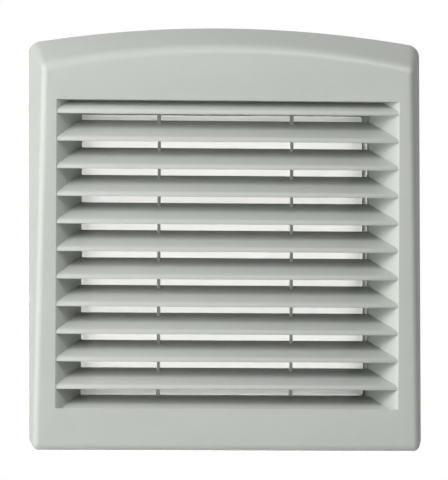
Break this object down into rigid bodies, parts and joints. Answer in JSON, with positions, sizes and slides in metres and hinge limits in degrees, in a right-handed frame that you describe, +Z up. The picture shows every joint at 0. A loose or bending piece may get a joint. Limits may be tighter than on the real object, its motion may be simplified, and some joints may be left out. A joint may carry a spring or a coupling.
{
  "type": "ventilation grille",
  "caption": "Louvred ventilation grille for a cabinet panel: hinged cover with an arched top, clip-in mounting frame with filter tray, filter mat, gasket and sprung clips.",
  "frame": {"origin": "centre of the square panel cut-out, on the panel's front face", "axes": "+X to the right as seen from the front, +Z up, the louvred front faces -Y and the collar goes back along +Y"},
  "size_m": [0.248, 0.0519, 0.267],
  "materials": {
    "cover_plastic": "satin light grey moulded ABS",
    "frame_plastic": "satin light grey moulded ABS",
    "clip_plastic": "dark grey moulded plastic",
    "filter_fleece": "white bonded fibre fleece",
    "gasket_foam": "black closed-cell foam",
    "pin_steel": "drawn steel",
    "spring_steel": "spring wire"
  },
  "bodies": {
    "frame": {"mounting_frame": "frame_plastic", "filter_mat": "filter_fleece", "panel_gasket": "gasket_foam", "clip_pin_upper_left": "pin_steel", "clip_pin_upper_right": "pin_steel", "clip_pin_lower_left": "pin_steel", "clip_pin_lower_right": "pin_steel", "clip_spring_upper_left": "spring_steel", "clip_spring_upper_right": "spring_steel", "clip_spring_lower_left": "spring_steel", "clip_spring_lower_right": "spring_steel"},
    "cover": {"front_cover": "cover_plastic", "hinge_pin_left": "pin_steel", "hinge_pin_right": "pin_steel"},
    "clip_upper_left": {"clip_upper_left": "clip_plastic"},
    "clip_upper_right": {"clip_upper_right": "clip_plastic"},
    "clip_lower_left": {"clip_lower_left": "clip_plastic"},
    "clip_lower_right": {"clip_lower_right": "clip_plastic"}
  },
  "joints": [
    {"name": "cover_hinge", "type": "hinge", "parent": "frame", "child": "cover", "pos_m": [0, -0.0031, -0.1214], "axis": [1, 0, 0], "range_deg": [0, 90]},
    {"name": "clip_upper_left_pivot", "type": "hinge", "parent": "frame", "child": "clip_upper_left", "pos_m": [-0.1052, 0.0175, 0.06], "axis": [0, 0, 1], "range_deg": [0, 15], "stiffness_Nm_per_rad": 0.3, "springref_deg": -17.19, "deforming": ["clip_spring_upper_left"]},
    {"name": "clip_upper_right_pivot", "type": "hinge", "parent": "frame", "child": "clip_upper_right", "pos_m": [0.1052, 0.0175, 0.06], "axis": [0, 0, -1], "range_deg": [0, 15], "stiffness_Nm_per_rad": 0.3, "springref_deg": -17.19, "deforming": ["clip_spring_upper_right"]},
    {"name": "clip_lower_left_pivot", "type": "hinge", "parent": "frame", "child": "clip_lower_left", "pos_m": [-0.1052, 0.0175, -0.06], "axis": [0, 0, 1], "range_deg": [0, 15], "stiffness_Nm_per_rad": 0.3, "springref_deg": -17.19, "deforming": ["clip_spring_lower_left"]},
    {"name": "clip_lower_right_pivot", "type": "hinge", "parent": "frame", "child": "clip_lower_right", "pos_m": [0.1052, 0.0175, -0.06], "axis": [0, 0, -1], "range_deg": [0, 15], "stiffness_Nm_per_rad": 0.3, "springref_deg": -17.19, "deforming": ["clip_spring_lower_right"]}
  ]
}
